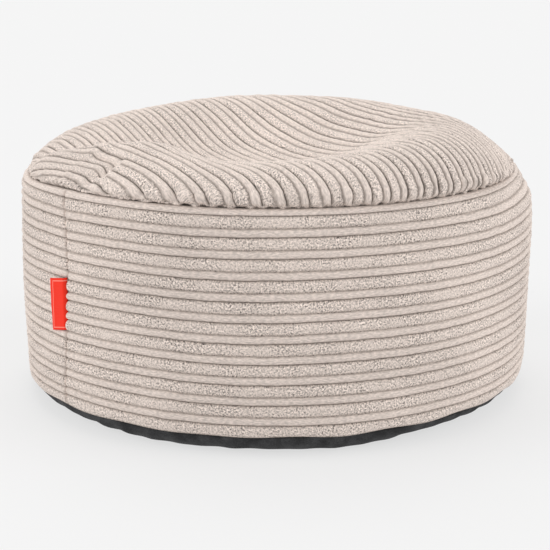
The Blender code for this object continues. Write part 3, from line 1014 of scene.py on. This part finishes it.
label = {
    "width": 0.0278,
    "tall": 0.0580,
    "leanIn": 0.0028,          # how much narrower it is at its foot
    "tape": 0.0005,
    "inside": 0.00015,         # half the space between the tape's two layers
    "gap": 0.0004,             # from the drum's widest radius
    "hang": 0.0052,            # how much lower the fold is than the sewn edge
    "rows": 40,
    "steps": 24,
    "bendSteps": 5,
    "lift": 0.0012,            # how far the fold stands off the wall, with a slow wave up it
    "liftPower": 3,
    "liftEven": 0.6,
    "liftWave": 0.4,
    "liftTurn": 3,             # in radians over the label's height
    "wave": 0.0002,            # the ribs under it show through, less at its fold
    "waveFade": 0.5,
    "sunk": 0.0030,            # the sewn edge goes into the join
    "sunkWidth": 0.0016,
}


def tapeLoop():
    # shares out along the label and distances off its middle: out, round the fold, back, then the inner side
    middle = label["inside"] + label["tape"] / 2
    out = np.linspace(0, 1, label["steps"])
    bend = np.linspace(np.pi / 2, -np.pi / 2, label["bendSteps"] + 2)[1:-1]
    shares = np.concatenate([out, np.ones(len(bend)), out[::-1]])
    beyond = np.concatenate([np.zeros(len(out)), np.cos(bend), np.zeros(len(out))])
    aside = np.concatenate([np.ones(len(out)), np.sin(bend), -np.ones(len(out))])
    far = middle + label["tape"] / 2
    near = middle - label["tape"] / 2
    share = np.concatenate([shares, shares[::-1]])
    past = np.concatenate([beyond * far, beyond[::-1] * near])
    off = np.concatenate([aside * far, aside[::-1] * near])
    return share, past, off


def makeLabel(material):
    # tape out from the join, round a fold at the left and back, carried up the wall a row at a time
    tall = label["tall"]
    share, past, off = tapeLoop()
    levels = np.linspace(0, 1, label["rows"])[:, None]
    reach = (label["width"] - label["leanIn"] * (1 - levels)) * share[None, :] + past[None, :]
    middle = drumBox[1][0] + label["gap"] + label["inside"] + label["tape"]
    azimuth = np.radians(join["azimuth"] + np.degrees(reach / middle))
    sway = label["liftEven"] + label["liftWave"] * np.sin(label["liftTurn"] * levels)
    lift = label["lift"] * share ** label["liftPower"] * sway
    wave = label["wave"] * np.sin(2 * np.pi * levels * tall / ribPair) * (1 - share * label["waveFade"])
    sunk = label["sunk"] * bell(share * label["width"], label["sunkWidth"])
    radius = middle + lift + wave - sunk + off
    height = labelBox[1][2] - tall * (1 - levels) - label["hang"] * share
    points = placed(radius, azimuth, height).reshape(-1, 3)
    count = len(share)
    first = np.arange(count // 2 - 1)
    footEnd = np.stack([first, first + 1, count - 2 - first, count - 1 - first], axis=-1)
    headEnd = footEnd + (label["rows"] - 1) * count
    quads = np.concatenate([gridFaces(label["rows"], count, True), footEnd[:, ::-1], headEnd])
    coords = np.stack([reach, tall * levels + 0 * reach], axis=-1).reshape(-1, 2)
    piece = buildMesh("labelTab", points, quads, [], coords, {})
    piece.data.materials.append(material)
    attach(piece, "root")
    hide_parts("label")
    return piece


# Floor, light and camera

view = {
    "pitch": 13.92,            # degrees down
    "distance": 1.925,
    "aimHeight": 0.1245,
    "sideShift": -0.0013,
    "lens": 104.7,
    "sensor": 36,
}

studio = {
    "floorReach": 40.0,
    "floorColour": (0.20, 0.20, 0.20, 1),
    "floorGlow": 0.655,
    "floorRoughness": 0.95,
    "skyColour": (1.0, 1.0, 1.0, 1),
    "skyStrength": 0.62,
    "lamps": (
        # azimuth from the front towards the left, height in degrees, strength, spread in degrees
        ("leftLamp", 78, 26, 1.40, 45),
        ("rightLamp", -75, 26, 1.38, 45),
        ("backLamp", 170, 60, 1.05, 45),
    ),
}


def makeFloor():
    # a flat square of pale paper that glows evenly and still takes the pouf's shadow
    mesh = bpy.data.meshes.new("studioFloor")
    reach = studio["floorReach"]
    corners = [(-reach, -reach, 0), (reach, -reach, 0), (reach, reach, 0), (-reach, reach, 0)]
    mesh.from_pydata(corners, [], [(0, 1, 2, 3)])
    floor = bpy.data.objects.new("studioFloor", mesh)
    bpy.context.scene.collection.objects.link(floor)
    material, _, shader = newMaterial("palePaper")
    setInputs(shader, {"Base Color": studio["floorColour"], "Roughness": studio["floorRoughness"],
                       "Specular IOR Level": 0.0, "Emission Color": (1, 1, 1, 1),
                       "Emission Strength": studio["floorGlow"]})
    mesh.materials.append(material)


def makeLights():
    # an even sky and three wide, soft suns
    world = bpy.data.worlds.new("studioSky")
    world.use_nodes = True
    sky = world.node_tree.nodes["Background"]
    setInputs(sky, {"Color": studio["skyColour"], "Strength": studio["skyStrength"]})
    bpy.context.scene.world = world
    for name, azimuth, height, strength, spreadAngle in studio["lamps"]:
        lamp = bpy.data.lights.new(name, "SUN")
        lamp.energy = strength
        lamp.angle = math.radians(spreadAngle)
        item = bpy.data.objects.new(name, lamp)
        item.rotation_euler = (math.radians(90 - height), 0, math.radians(-azimuth))
        bpy.context.scene.collection.objects.link(item)


def makeCamera():
    # in front, its distance away from the aim along a line that looks down by the pitch
    pitch = math.radians(view["pitch"])
    lens = bpy.data.cameras.new("studioCamera")
    lens.lens = view["lens"]
    lens.sensor_width = view["sensor"]
    camera = bpy.data.objects.new("studioCamera", lens)
    away = view["distance"]
    height = view["aimHeight"] + away * math.sin(pitch)
    camera.location = (view["sideShift"], -away * math.cos(pitch), height)
    camera.rotation_euler = (math.pi / 2 - pitch, 0, 0)
    bpy.context.scene.collection.objects.link(camera)
    bpy.context.scene.camera = camera


makeCamera()
makeFloor()
makeLights()
bpy.context.scene.view_settings.view_transform = "Standard"
print("studio ready")
wallCord = makeSide(cordMaterial("sideCordCloth", cordCloth["sideGrooveShade"]))
print("side panel ready")
makeTop(cordMaterial("topCordCloth", cordCloth["topGrooveShade"]))
print("top panel ready")
makeBase(baseMaterial("charcoalCloth"))
print("base panel ready")
makeLabel(labelMaterial("redTape", label["width"], label["tall"]))
print("label ready")
